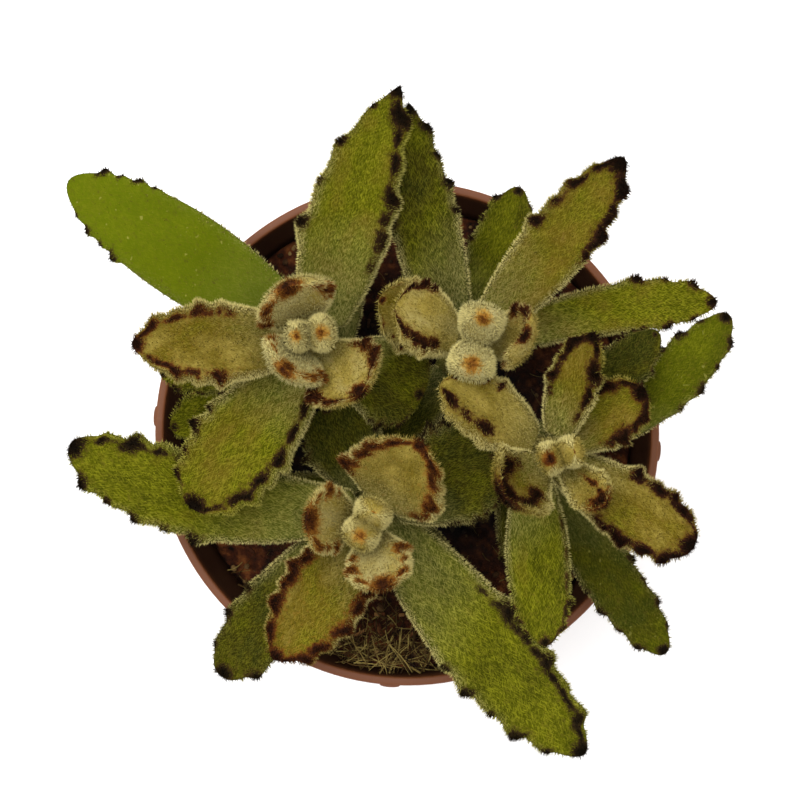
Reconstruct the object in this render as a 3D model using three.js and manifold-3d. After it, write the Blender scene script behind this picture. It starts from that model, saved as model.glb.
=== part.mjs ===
// A panda plant: four short leafy shoots with thick toothed leaves, rooted in a round plastic pot of peat.
// Millimetres, +Z up. The origin is the centre of the pot's flat foot.
import * as THREE from "three";
import Module from "manifold-3d";
import { mergeVertices } from "three/addons/utils/BufferGeometryUtils.js";

const wasm = await Module();
wasm.setup();

// ---------------------------------------------------------------- driving dimensions
const GAP = 0.3; // clearance between pieces that touch on the real plant

const POT = {
  height: 82,
  rimRadius: 52.5, // a 10.5 cm pot, measured over its lip
  lip: 1.8, // width of the flat lip, with its edge rounded over this much:
  lipRound: 0.5,
  collar: 9, // height of the band under the lip
  collarTaper: 0.7,
  footRadius: 36,
  footRound: 1.2,
  wall: 1.1,
  floor: 1.4,
  sides: 44,
};
const LUG = { count: 4, bearing: 86, width: 4.2, proud: 0.45, height: 3, below: 0.4 };
const DRAIN = { count: 8, radius: 2.4, ring: 27, sides: 8 };

const SOIL = { level: 70.5, lump: 1.3, edgeDrop: 2, edgeRound: 0.5, rings: 7, sides: 34 };
const STEM = {
  footRadius: 3.4,
  topRadius: 2.5,
  buried: 21.5,
  taper: 3.5, // both ends run out to a point over this much
  budOffset: 0.8, // the bud leaves grow from this far off the axis
  sides: 8,
  holeSides: 10,
};

// Proportions that every leaf shares. Lengths are shares of the leaf's greatest width or of its length.
const LEAF = {
  neck: 0.42, // width where it leaves the stem
  thickness: 0.2,
  least: 2.2, // mm, the thinnest leaf
  heel: 0.65, // thickness at the stem, as a share of the greatest
  upper: 0.4, // share of the thickness that lies above the midrib
  cupAtStem: 0.35, // the cupping starts at this share and is full a third of the way along
  toothHeight: 0.07,
  toothPeak: 0.72, // each tooth slopes up for this share of its pitch, then steps back
  smallTooth: 0.6, // every second tooth is this much of its neighbour
  toothEnd: 0.93,
  lastRing: 0.985,
  sides: 10,
  steps: 48, // of the walk along the midrib
};

// ---------------------------------------------------------------- the four shoots
// foot and top are where a stem's axis meets the soil and its growing tip, as x and y from the pot's axis.
// Each leaf gives, in this order: the height of its base above the soil; its bearing in plan, with 0 along
// +X and 90 along +Y; length; greatest width; its rise above the horizon at the base and at the tip; the
// swing of its bearing from base to tip; its roll about its own midrib; its cup, half the angle that its
// cross-section wraps; where along it is widest; its taper, with 0.4 blunt and 0.7 pointed; the teeth on
// each margin; and where along the first of them starts.
const leaf = (height, bearing, length, width, rise, swing, roll, cup, belly, taper, teeth, firstTooth) => ({
  height, bearing, length, width, rise, swing, roll, cup, belly, taper, teeth, firstTooth,
});

const SHOOTS = {
  nw: {
    foot: [-12, 13],
    top: [-19.5, 20],
    height: 56,
    bud: [
      leaf(51, 20, 12, 9, [66, 92], 0, 0, 46, 0.6, 0.45, 1, 0.7),
      leaf(51, 190, 11, 8.5, [64, 90], 0, 0, 46, 0.6, 0.45, 1, 0.7),
    ],
    leaves: [
      leaf(47, 115, 18, 15.5, [34, 78], 0, 0, 50, 0.64, 0.4, 3, 0.45),
      leaf(47, 232, 15, 13.5, [46, 84], 0, 0, 48, 0.64, 0.4, 3, 0.45),
      leaf(46, 311, 16.5, 16.5, [32, 60], 0, 0, 44, 0.64, 0.42, 4, 0.4),
      leaf(42, 179, 34.5, 15, [26, 28], 0, 0, 34, 0.52, 0.65, 4, 0.42),
      leaf(36, 229.5, 38, 19, [20, 6], 4, -8, 26, 0.58, 0.5, 4, 0.45),
      leaf(37, 82, 52, 17.5, [26, 24], -19, 14, 28, 0.48, 0.65, 4, 0.5),
      leaf(30, 335, 18, 18, [20, 6], 0, 0, 18, 0.62, 0.4, 4, 0.5),
      leaf(28, 187, 31, 12, [16, 4], 0, 0, 22, 0.5, 0.6, 3, 0.5),
      leaf(22, 144, 60, 15.5, [14, 4], 4, 0, 14, 0.6, 0.45, 4, 0.68),
      leaf(14, 201.5, 34, 12.5, [16, 4], 0, 0, 24, 0.55, 0.5, 3, 0.5),
      leaf(13, 92, 27, 12, [14, -4], 0, 0, 20, 0.55, 0.5, 3, 0.55),
      leaf(10, 138, 24, 11, [12, -6], 0, 0, 20, 0.55, 0.5, 3, 0.55),
    ],
  },
  ne: {
    foot: [9, 13],
    top: [13.5, 18.5],
    height: 52,
    bud: [
      leaf(47, 75, 12, 10, [58, 88], 0, 0, 48, 0.6, 0.45, 1, 0.7),
      leaf(47, 258, 12, 10, [56, 86], 0, 0, 48, 0.6, 0.45, 1, 0.7),
    ],
    leaves: [
      leaf(43, 158, 17.5, 15.5, [28, 46], 0, 18, 36, 0.62, 0.38, 3, 0.45),
      leaf(42, 9, 18.5, 12.5, [12, 118], 0, 0, 44, 0.62, 0.4, 3, 0.4),
      leaf(36, 50.5, 47.5, 13.5, [30, 24], 0, 8, 24, 0.52, 0.65, 4, 0.45),
      leaf(31, 111, 48.5, 15, [22, 16], -11, 0, 24, 0.45, 0.75, 4, 0.45),
      leaf(27, 10, 48, 14, [12, 4], -2, 0, 20, 0.62, 0.42, 4, 0.5),
      leaf(23, 71.5, 32, 12, [18, 8], 0, 0, 22, 0.52, 0.55, 3, 0.5),
      leaf(35, 151, 22.5, 14, [30, 52], 0, 10, 34, 0.55, 0.45, 3, 0.5),
      leaf(18, 225, 20, 12, [14, 4], 0, 0, 22, 0.5, 0.6, 3, 0.5),
      leaf(12, 52, 27, 12, [14, -2], 0, 0, 20, 0.55, 0.5, 3, 0.55),
      leaf(10, 105, 24, 11.5, [12, -4], 0, 0, 20, 0.55, 0.5, 3, 0.55),
    ],
  },
  e: {
    foot: [20, -3],
    top: [30, -3.5],
    height: 54,
    bud: [
      leaf(49, 60, 10, 8, [66, 92], 0, 0, 50, 0.6, 0.45, 1, 0.7),
      leaf(49, 240, 9, 7.5, [70, 92], 0, 0, 50, 0.6, 0.45, 1, 0.7),
    ],
    leaves: [
      leaf(46, 217, 17, 15.5, [32, 84], 0, 0, 56, 0.64, 0.4, 4, 0.4),
      leaf(46, 305, 17.5, 13, [34, 76], 0, 0, 50, 0.6, 0.42, 3, 0.45),
      leaf(43, 72, 25, 11, [34, 32], 0, -20, 46, 0.5, 0.55, 3, 0.4),
      leaf(40, 34, 22, 13, [30, 36], 0, 0, 36, 0.6, 0.42, 4, 0.35),
      leaf(42, 149, 24.5, 14, [30, 20], 0, 22, 38, 0.52, 0.5, 3, 0.4),
      leaf(36.5, 328, 32.5, 14.5, [28, 22], 0, 0, 30, 0.62, 0.42, 4, 0.4),
      leaf(30, 269, 36, 13, [22, 6], 8, 0, 20, 0.52, 0.55, 3, 0.72),
      leaf(27, 35, 46, 13, [23, 10], 0, 0, 18, 0.58, 0.5, 4, 0.5),
      leaf(33, 44.5, 32.5, 11, [24, 14], 0, 0, 24, 0.5, 0.6, 3, 0.6),
      leaf(20, 305.5, 47.5, 11.5, [12, 2], 0, 0, 16, 0.58, 0.5, 4, 0.5),
      leaf(16, 210, 20, 12, [14, 4], 0, 0, 20, 0.5, 0.6, 3, 0.5),
      leaf(13, 20, 24, 12, [14, -2], 0, 0, 20, 0.55, 0.5, 3, 0.55),
      leaf(10, 278, 24, 11.5, [12, -4], 0, 0, 20, 0.55, 0.5, 3, 0.55),
    ],
  },
  s: {
    foot: [-5, -11],
    top: [-8, -17.5],
    height: 50,
    bud: [
      leaf(45, 65, 11, 9, [64, 92], 0, 0, 48, 0.6, 0.45, 1, 0.7),
      leaf(45, 245, 10, 8, [68, 90], 0, 0, 48, 0.6, 0.45, 1, 0.7),
    ],
    leaves: [
      leaf(41, 178, 18.5, 14.5, [36, 76], 0, 0, 46, 0.64, 0.4, 3, 0.45),
      leaf(41, 283, 18.5, 13.5, [34, 70], 0, 0, 46, 0.64, 0.4, 3, 0.45),
      leaf(39, 56, 20, 20, [36, 50], 0, 0, 38, 0.4, 0.7, 4, 0.3),
      leaf(36, 234.5, 33.5, 17.5, [30, 28], 0, 0, 34, 0.46, 0.65, 5, 0.25),
      leaf(28, 180, 58.5, 16.5, [18, 2], -22, -6, 24, 0.55, 0.5, 5, 0.45),
      leaf(27, 308.5, 61.5, 18, [18, 4], 3, 0, 22, 0.5, 0.6, 5, 0.42),
      leaf(23, 224, 43.5, 14, [14, 2], 6, 0, 26, 0.6, 0.45, 3, 0.5),
      leaf(30, 24, 24.5, 20, [18, 6], 0, 0, 16, 0.62, 0.4, 4, 0.5),
      leaf(22, 118, 19, 16, [20, 8], 0, 0, 22, 0.55, 0.5, 3, 0.5),
      leaf(12, 305, 28, 12.5, [14, -2], 0, 0, 20, 0.55, 0.5, 3, 0.55),
      leaf(10, 184, 26, 11.5, [12, -4], 0, 0, 20, 0.55, 0.5, 3, 0.55),
    ],
  },
};

// ---------------------------------------------------------------- geometry helpers
const { degToRad, lerp } = THREE.MathUtils;

// A unit step in plan along a bearing in radians.
const along = (bearing) => new THREE.Vector3(Math.cos(bearing), Math.sin(bearing), 0);

function toSolid(geometry) {
  const bare = geometry.clone();
  bare.deleteAttribute("normal");
  bare.deleteAttribute("uv");
  const merged = mergeVertices(bare, 1e-4);
  return new wasm.Manifold(
    new wasm.Mesh({
      numProp: 3,
      vertProperties: Float32Array.from(merged.attributes.position.array),
      triVerts: Uint32Array.from(merged.index.array),
    }),
  );
}

function toGeometry(solid) {
  const mesh = solid.getMesh();
  const geometry = new THREE.BufferGeometry();
  geometry.setAttribute("position", new THREE.BufferAttribute(mesh.vertProperties, 3));
  geometry.setIndex(new THREE.BufferAttribute(mesh.triVerts, 1));
  return geometry;
}

// Skins a list of rings, each a list of points in the same order, and closes both ends with a fan.
function skin(rings, startPoint, endPoint) {
  const sides = rings[0].length;
  const points = [startPoint, ...rings.flat(), endPoint];
  const faces = [];
  const at = (ring, side) => 1 + ring * sides + (side % sides);
  for (let i = 0; i < sides; i++) {
    faces.push(0, at(0, i + 1), at(0, i));
    faces.push(points.length - 1, at(rings.length - 1, i), at(rings.length - 1, i + 1));
    for (let r = 0; r + 1 < rings.length; r++) {
      faces.push(at(r, i), at(r, i + 1), at(r + 1, i));
      faces.push(at(r, i + 1), at(r + 1, i + 1), at(r + 1, i));
    }
  }
  const geometry = new THREE.BufferGeometry();
  geometry.setAttribute("position", new THREE.Float32BufferAttribute(points.flatMap((p) => p.toArray()), 3));
  geometry.setIndex(faces);
  return geometry;
}

// One point for each side of a ring, given a function of the angle round it in radians.
const ringOf = (sides, pointAt) =>
  Array.from({ length: sides }, (_, i) => pointAt((2 * Math.PI * i) / sides));

function namedMesh(name, geometry, material) {
  const mesh = new THREE.Mesh(geometry, material);
  mesh.name = name;
  return mesh;
}

// ---------------------------------------------------------------- leaf
const thicknessOf = (leaf) => Math.max(LEAF.least, LEAF.thickness * leaf.width);

// Half-width at s, from 0 at the base to 1 at the tip, as a share of the greatest, without the teeth.
function outline(leaf, s) {
  const widening = Math.sin((Math.PI / 2) * Math.min(1, s / leaf.belly));
  const narrowing = Math.max(0, (s - leaf.belly) / (1 - leaf.belly));
  return lerp(LEAF.neck, 1, widening) * (1 - narrowing ** 2) ** leaf.taper;
}

// Height of the margin's teeth at s, from 0 to 1. A large tooth on one margin faces a small one on the other.
function tooth(leaf, s, side) {
  if (s <= leaf.firstTooth || s >= LEAF.toothEnd) return 0;
  const turns = (leaf.teeth * (s - leaf.firstTooth)) / (LEAF.toothEnd - leaf.firstTooth) + 1e-6;
  const share = turns - Math.floor(turns);
  const size = (Math.floor(turns) + (side < 0 ? 1 : 0)) % 2 ? LEAF.smallTooth : 1;
  return size * Math.min(share / LEAF.toothPeak, (1 - share) / (1 - LEAF.toothPeak));
}

// The midrib's own axes at s: ahead along the leaf, out of its upper face, and across it.
function axesAt(leaf, s) {
  const rise = degToRad(lerp(leaf.rise[0], leaf.rise[1], s));
  const plan = along(degToRad(leaf.bearing + leaf.swing * s));
  const ahead = plan.clone().multiplyScalar(Math.cos(rise)).setZ(Math.sin(rise));
  const out = plan.multiplyScalar(-Math.sin(rise)).setZ(Math.cos(rise));
  out.applyAxisAngle(ahead, degToRad(leaf.roll));
  return { ahead, out, across: out.clone().cross(ahead) };
}

// Walks the midrib from the base in even steps and keeps its place and axes at each station.
function midribAt(leaf, base, stations) {
  const place = base.clone();
  const kept = [];
  for (let i = 0; i <= LEAF.steps; i++) {
    while (kept.length < stations.length && stations[kept.length] <= (i + 1e-6) / LEAF.steps) {
      const s = stations[kept.length];
      kept.push({ s, place: place.clone(), ...axesAt(leaf, s) });
    }
    place.addScaledVector(axesAt(leaf, i / LEAF.steps).ahead, leaf.length / LEAF.steps);
  }
  return kept;
}

// A ring at the root, some along the plain margin, then one at each tooth's foot and point.
function leafStations(leaf) {
  const plain = [0, 0.07, 0.18, 0.31, 0.45].filter((s) => s < leaf.firstTooth - 0.05);
  const pitch = (LEAF.toothEnd - leaf.firstTooth) / leaf.teeth;
  const toothed = Array.from({ length: leaf.teeth }, (_, i) => [i, i + LEAF.toothPeak]).flat();
  return [...plain, ...toothed.map((i) => leaf.firstTooth + i * pitch), LEAF.toothEnd, LEAF.lastRing];
}

// A lens-shaped section, bent round an arc so that both margins curl up by the leaf's cup.
function leafRing(leaf, { s, place, out, across }) {
  const half = (leaf.width / 2) * outline(leaf, s);
  const wrap = degToRad(leaf.cup) * Math.min(1, LEAF.cupAtStem + 2 * s);
  const fullness = lerp(LEAF.heel, 1, Math.sin(Math.PI * Math.min(1, s + 0.1))) * (1 - s ** 6);
  return ringOf(LEAF.sides, (turn) => {
    const side = Math.cos(turn);
    const teeth = LEAF.toothHeight * leaf.width * tooth(leaf, s, side) * Math.abs(side) ** 3;
    const share = Math.sin(turn) > 0 ? LEAF.upper : 1 - LEAF.upper;
    const lift = thicknessOf(leaf) * fullness * share * Math.sin(turn);
    const radius = (half + teeth) / wrap;
    const sideways = (radius - lift) * Math.sin(wrap * side);
    const upwards = radius - (radius - lift) * Math.cos(wrap * side);
    return place.clone().addScaledVector(across, sideways).addScaledVector(out, upwards);
  });
}

function leafGeometry(leaf, base) {
  const midrib = midribAt(leaf, base, [...leafStations(leaf), 1]);
  const tip = midrib.pop();
  return skin(midrib.map((station) => leafRing(leaf, station)), midrib[0].place, tip.place);
}

// ---------------------------------------------------------------- stem
// The stem's axis at a height above the soil, which is negative below it.
const stemPoint = ({ foot, top, height }, up) =>
  new THREE.Vector3(lerp(foot[0], top[0], up / height), lerp(foot[1], top[1], up / height), SOIL.level + up);

const stemRadius = (shoot, up) => lerp(STEM.footRadius, STEM.topRadius, Math.max(0, up) / shoot.height);

// A leaf stands just clear of the stem, further out where it rises and its root's upper edge tips back.
function leafBase(shoot, leaf) {
  const tipBack = LEAF.upper * thicknessOf(leaf) * Math.sin(degToRad(leaf.rise[0]));
  const reach = stemRadius(shoot, leaf.height) + GAP + tipBack;
  return stemPoint(shoot, leaf.height).addScaledVector(along(degToRad(leaf.bearing)), reach);
}

// The stem, its growing tip and the pair of bud leaves closed over it grew as one.
function stemSolid(shoot) {
  const ringAt = (up, radius) =>
    ringOf(STEM.sides, (turn) => stemPoint(shoot, up).addScaledVector(along(turn), radius));
  const shoulder = STEM.taper - STEM.buried;
  const levels = [shoulder, 0, 0.35 * shoot.height, 0.7 * shoot.height, shoot.height - STEM.taper];
  const rings = levels.map((up) => ringAt(up, stemRadius(shoot, up)));
  const root = stemPoint(shoot, -STEM.buried);
  const stem = toSolid(skin(rings, root, stemPoint(shoot, shoot.height)));
  return shoot.bud.reduce((joined, bud) => {
    const base = stemPoint(shoot, bud.height).addScaledVector(along(degToRad(bud.bearing)), STEM.budOffset);
    return joined.add(toSolid(leafGeometry(bud, base)));
  }, stem);
}

// ---------------------------------------------------------------- pot
// Outer radius of the pot's tapered wall at height z.
const wallRadius = (z) =>
  lerp(POT.footRadius, POT.rimRadius - POT.lip - POT.collarTaper, z / (POT.height - POT.collar));

function potSolid() {
  const collar = POT.height - POT.collar;
  const innerLip = POT.rimRadius - POT.lip;
  const inside = POT.floor + POT.footRound;
  const profile = [
    [0, 0],
    [POT.footRadius - POT.footRound, 0],
    [wallRadius(POT.footRound), POT.footRound],
    [wallRadius(collar - 1), collar - 1],
    [POT.rimRadius - POT.collarTaper - POT.lipRound, collar],
    [POT.rimRadius - POT.collarTaper, collar + 1],
    [POT.rimRadius, POT.height - 2 * POT.lipRound],
    [POT.rimRadius - POT.lipRound, POT.height],
    [innerLip + POT.lipRound, POT.height],
    [innerLip, POT.height - POT.lipRound],
    [wallRadius(collar) - POT.wall, collar],
    [wallRadius(inside) - POT.wall, inside],
    [wallRadius(inside) - POT.wall - POT.footRound, POT.floor],
    [0, POT.floor],
  ];
  const lathe = new THREE.LatheGeometry(profile.map(([r, z]) => new THREE.Vector2(r, z)), POT.sides);
  let pot = toSolid(lathe.rotateX(Math.PI / 2));
  for (let i = 0; i < LUG.count; i++) {
    const lug = new THREE.BoxGeometry(2 * LUG.proud, LUG.width, LUG.height);
    lug.translate(POT.rimRadius, 0, POT.height - LUG.below - LUG.height / 2);
    pot = pot.add(toSolid(lug.rotateZ(degToRad(LUG.bearing + (360 / LUG.count) * i))));
  }
  for (let i = 0; i < DRAIN.count; i++) {
    const hole = new THREE.CylinderGeometry(DRAIN.radius, DRAIN.radius, 4 * POT.floor, DRAIN.sides);
    hole.rotateX(Math.PI / 2).translate(DRAIN.ring, 0, 0);
    pot = pot.subtract(toSolid(hole.rotateZ((2 * Math.PI * (i + 0.5)) / DRAIN.count)));
  }
  return pot;
}

// ---------------------------------------------------------------- soil
// The uneven top of the loose peat, as a smooth sum of waves.
function soilTop(x, y) {
  const swell = 0.5 * Math.sin(0.31 * x + 1.3) * Math.sin(0.27 * y);
  const crumbs = 0.3 * Math.sin(0.62 * x - 0.45 * y) + 0.2 * Math.cos(0.5 * x + 0.83 * y);
  return SOIL.level + SOIL.lump * (swell + crumbs);
}

// A plain round hole that follows a stem's lean, from above the peat to just under the stem's point.
function stemHole(shoot) {
  const top = stemPoint(shoot, 5 * SOIL.lump);
  const bottom = stemPoint(shoot, -STEM.buried - GAP);
  const radius = (STEM.footRadius + GAP) / Math.cos(Math.PI / STEM.holeSides);
  const ringAt = (centre) =>
    ringOf(STEM.holeSides, (turn) => centre.clone().addScaledVector(along(turn), radius));
  return toSolid(skin([ringAt(bottom), ringAt(top)], bottom, top));
}

function soilSolid() {
  const clear = POT.wall + 1.5 * GAP;
  const bottom = POT.floor + GAP;
  const shoulder = SOIL.level - SOIL.edgeDrop;
  const edge = wallRadius(shoulder) - clear;
  const flatRing = (radius, z) => ringOf(SOIL.sides, (turn) => along(turn).multiplyScalar(radius).setZ(z));
  const rings = [
    flatRing(wallRadius(bottom) - clear - POT.footRound, bottom),
    flatRing(wallRadius(bottom + 2 * POT.footRound) - clear, bottom + 2 * POT.footRound),
    flatRing(edge, shoulder),
  ];
  for (let i = SOIL.rings; i > 0; i--) {
    const radius = (edge * i) / SOIL.rings - SOIL.edgeRound;
    rings.push(flatRing(radius, 0).map((p) => p.setZ(soilTop(p.x, p.y))));
  }
  const soil = toSolid(skin(rings, new THREE.Vector3(0, 0, bottom), new THREE.Vector3(0, 0, soilTop(0, 0))));
  return Object.values(SHOOTS).reduce((left, shoot) => left.subtract(stemHole(shoot)), soil);
}

// ---------------------------------------------------------------- materials and assembly
const plastic = new THREE.MeshStandardMaterial({ color: 0x8e5540, roughness: 0.55, metalness: 0 });
const peat = new THREE.MeshStandardMaterial({ color: 0x2a1c12, roughness: 1, metalness: 0 });
const stemSkin = new THREE.MeshStandardMaterial({ color: 0x8a8f5c, roughness: 0.9, metalness: 0 });
const leafSkin = new THREE.MeshStandardMaterial({ color: 0x7c8c33, roughness: 0.9, metalness: 0 });

const plant = new THREE.Group();
plant.add(namedMesh("pot", toGeometry(potSolid()), plastic));
plant.add(namedMesh("soil", toGeometry(soilSolid()), peat));
for (const [place, shoot] of Object.entries(SHOOTS)) {
  plant.add(namedMesh(`stem_${place}`, toGeometry(stemSolid(shoot)), stemSkin));
  shoot.leaves.forEach((leaf, i) => {
    const name = `leaf_${place}_${String(i + 1).padStart(2, "0")}`;
    plant.add(namedMesh(name, leafGeometry(leaf, leafBase(shoot, leaf)), leafSkin));
  });
}

export default plant;
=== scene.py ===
# A panda plant in its nursery pot, in the order of its making: the pot, the peat, the leaves in opposite
# pairs, the four stems with their closed buds, and then the felt of hairs that covers all that grew.
import math

import bmesh
import bpy
import numpy as np
from mathutils import Matrix, Vector, noise


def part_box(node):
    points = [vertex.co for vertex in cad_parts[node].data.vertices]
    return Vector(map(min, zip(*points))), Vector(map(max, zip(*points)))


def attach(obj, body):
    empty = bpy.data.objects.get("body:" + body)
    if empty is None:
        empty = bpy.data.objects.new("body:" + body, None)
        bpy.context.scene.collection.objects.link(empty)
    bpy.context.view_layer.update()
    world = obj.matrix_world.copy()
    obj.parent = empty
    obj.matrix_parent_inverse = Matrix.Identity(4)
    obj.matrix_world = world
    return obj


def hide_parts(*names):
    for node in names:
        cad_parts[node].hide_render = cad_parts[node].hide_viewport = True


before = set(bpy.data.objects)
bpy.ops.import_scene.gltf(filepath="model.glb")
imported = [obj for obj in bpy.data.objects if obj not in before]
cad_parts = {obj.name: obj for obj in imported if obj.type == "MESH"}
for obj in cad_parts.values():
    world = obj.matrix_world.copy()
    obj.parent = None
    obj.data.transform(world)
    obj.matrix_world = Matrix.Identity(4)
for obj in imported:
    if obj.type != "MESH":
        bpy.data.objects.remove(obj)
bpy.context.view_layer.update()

# ------------------------------ the pot
# A thin-walled nursery pot, injection moulded in brown polypropylene. It has a flat lip with four small
# lugs on its edge, a collar under the lip, a tapered wall and a ring of drainage holes through its floor.
MM = 0.001
TAU = 2 * math.pi
POT_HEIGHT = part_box("pot")[1].z / MM
RIM_RADIUS = 52.5
LIP, LIP_ROUND = 1.8, 0.5
COLLAR, COLLAR_TAPER = 9, 0.7
FOOT_RADIUS, FOOT_ROUND = 36, 1.2
WALL, FLOOR = 1.1, 1.4
LIP_DEEP = 2
STEP_IN, STEP_HIGH = 0.3, 0.6
LUGS, LUG_BEARING, LUG_PROUD, LUG_SPREAD, LUG_HEIGHT, LUG_BELOW = 4, 86, 0.45, 2.1, 3, 0.4
DRAINS, DRAIN_RADIUS, DRAIN_RING = 8, 2.4, 27
POT_STEPS, ROUND_SIDES, SHARP_FROM = 128, 24, 35


def in_scene(name, data):
    """A new object in the scene, which holds this data."""
    made = bpy.data.objects.new(name, data)
    bpy.context.scene.collection.objects.link(made)
    return made


def to_object(name, bm):
    """A finished piece: its mesh in metres, smooth, with its place in its vertices."""
    mesh = bpy.data.meshes.new(name)
    bmesh.ops.scale(bm, vec=(MM,) * 3, verts=bm.verts)
    bm.to_mesh(mesh)
    bm.free()
    mesh.shade_smooth()
    return in_scene(name, mesh)


def linear(hex_code):
    """A colour as sRGB hex, in the linear values that a shader takes."""
    srgb = [int(hex_code[i : i + 2], 16) / 255 for i in (1, 3, 5)]
    return [c / 12.92 if c <= 0.04045 else ((c + 0.055) / 1.055) ** 2.4 for c in srgb] + [1]


def add(tree, kind, inputs=None, ramp=None, **settings):
    """One shader node with its settings. An input is a value, a hex colour or another node's output."""
    made = tree.nodes.new("ShaderNode" + kind)
    for key, value in settings.items():
        setattr(made, key, value)
    if ramp:
        stops = made.color_ramp.elements
        while len(stops) < len(ramp):
            stops.new(0.5)
        for stop, (place, colour) in zip(stops, ramp, strict=True):
            stop.position = place
            stop.color = linear(colour) if isinstance(colour, str) else (colour, colour, colour, 1)
    for socket, value in (inputs or {}).items():
        if isinstance(value, bpy.types.NodeSocket):
            tree.links.new(value, made.inputs[socket])
        else:
            made.inputs[socket].default_value = linear(value) if isinstance(value, str) else value
    return made


def compute(tree, operation, *values):
    """What one operation makes of some numbers."""
    return add(tree, "Math", dict(enumerate(values)), operation=operation).outputs[0]


def remap(tree, value, *spans):
    """A number moved from one span into another, and held there. Both are given by their ends."""
    return add(tree, "MapRange", dict(enumerate((value, *spans)))).outputs[0]


def mix(tree, share, one, other):
    """The colour at a share of the way from one to the other."""
    return add(tree, "Mix", {0: share, 6: one, 7: other}, data_type="RGBA").outputs[2]


def ramped(tree, value, stops):
    """The colour that a ramp gives to a number."""
    return add(tree, "ValToRGB", {"Fac": value}, ramp=stops).outputs["Color"]


def speckle(tree, place, scale, detail, **settings):
    """Smooth noise about 0.5, in grains as wide as one over the scale."""
    inputs = {"Vector": place, "Scale": scale, "Detail": detail, **settings}
    return add(tree, "TexNoise", inputs).outputs["Fac"]


def scaled(tree, colour, factor):
    """A colour made lighter or darker."""
    return add(tree, "VectorMath", {0: colour, 3: factor}, operation="SCALE").outputs[0]


def attributes(tree, names):
    """The numbers that a piece's points carry under these names."""
    return [add(tree, "Attribute", attribute_name=name).outputs["Fac"] for name in names.split()]


def from_axis(tree, place):
    """How far a point lies from the pot's axis."""
    level = add(tree, "VectorMath", {0: place, 1: (1, 1, 0)}, operation="MULTIPLY").outputs[0]
    return add(tree, "VectorMath", {0: level}, operation="LENGTH").outputs["Value"]


def emboss(tree, into, height, strength, depth):
    """Bumps in a surface, of a depth in mm."""
    bump = add(tree, "Bump", {"Height": height, "Strength": strength, "Distance": depth * MM})
    tree.links.new(bump.outputs["Normal"], into["Normal"])


def material(name, **constants):
    """A material with a Principled shader, and what is the same all over its surface."""
    made = bpy.data.materials.new(name)
    made.use_nodes = True
    shader = made.node_tree.nodes["Principled BSDF"]
    for socket, value in constants.items():
        socket = socket.replace("_", " ")
        shader.inputs[socket].default_value = linear(value) if isinstance(value, str) else value
    return made, made.node_tree, shader.inputs


def arc(centre, radius, start, end, steps=4):
    """Points on a rounded edge, from one bearing to the other, in degrees."""
    turns = [math.radians(start + (end - start) * i / steps) for i in range(steps + 1)]
    return [(centre[0] + radius * math.cos(t), centre[1] + radius * math.sin(t)) for t in turns]


def lathe(profile, steps):
    """Spins a profile of radius and height, which starts and ends on the axis, into a closed body."""
    bm = bmesh.new()
    row = [bm.verts.new((radius, 0, height)) for radius, height in profile]
    for low, high in zip(row, row[1:]):
        bm.edges.new((low, high))
    whole = bm.verts[:] + bm.edges[:]
    bmesh.ops.spin(bm, geom=whole, axis=(0, 0, 1), cent=(0, 0, 0), angle=TAU, steps=steps, use_merge=True)
    bmesh.ops.remove_doubles(bm, verts=bm.verts, dist=1e-4)
    bmesh.ops.recalc_face_normals(bm, faces=bm.faces)
    return bm


def wall_radius(height):
    """Outer radius of the tapered wall."""
    top = RIM_RADIUS - LIP - COLLAR_TAPER
    return FOOT_RADIUS + (top - FOOT_RADIUS) * height / (POT_HEIGHT - COLLAR)


def inner_radius(height):
    """Inner radius of the wall, which widens above the collar's foot to meet the lip."""
    collar = POT_HEIGHT - COLLAR
    widened = max(0, height - collar) / (COLLAR - LIP_DEEP)
    return wall_radius(min(height, collar)) - WALL + widened * (RIM_RADIUS - LIP - wall_radius(collar) + WALL)


def pot_profile():
    """Radius and height along the pot's section: up its outside, over the lip and down its inside."""
    collar = POT_HEIGHT - COLLAR
    band = RIM_RADIUS - COLLAR_TAPER
    inner_lip = RIM_RADIUS - LIP
    inside = FLOOR + FOOT_ROUND
    lip = POT_HEIGHT - LIP_ROUND
    return [
        (0, 0),
        *arc((wall_radius(FOOT_ROUND) - FOOT_ROUND, FOOT_ROUND), FOOT_ROUND, -90, 0),
        (wall_radius(collar - 1) - STEP_IN, collar - 1 - STEP_HIGH),
        (wall_radius(collar - 1), collar - 1),
        *arc((band - LIP_ROUND, collar + LIP_ROUND), LIP_ROUND, -90, 0),
        (RIM_RADIUS - 0.1, POT_HEIGHT - 2 * LIP_ROUND),
        *arc((RIM_RADIUS - LIP_ROUND, lip), LIP_ROUND, 0, 90),
        *arc((inner_lip + LIP_ROUND, lip), LIP_ROUND, 90, 180),
        (inner_lip, POT_HEIGHT - LIP_DEEP),
        (wall_radius(collar) - WALL, collar),
        (wall_radius(inside) - WALL, inside),
        *arc((wall_radius(inside) - WALL - FOOT_ROUND, inside), FOOT_ROUND, 0, -90),
        (0, FLOOR),
    ]


def cylinder(bm, radius, depth, place):
    bmesh.ops.create_cone(
        bm, segments=ROUND_SIDES, radius1=radius, radius2=radius, depth=depth, cap_ends=True, matrix=place
    )


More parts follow.
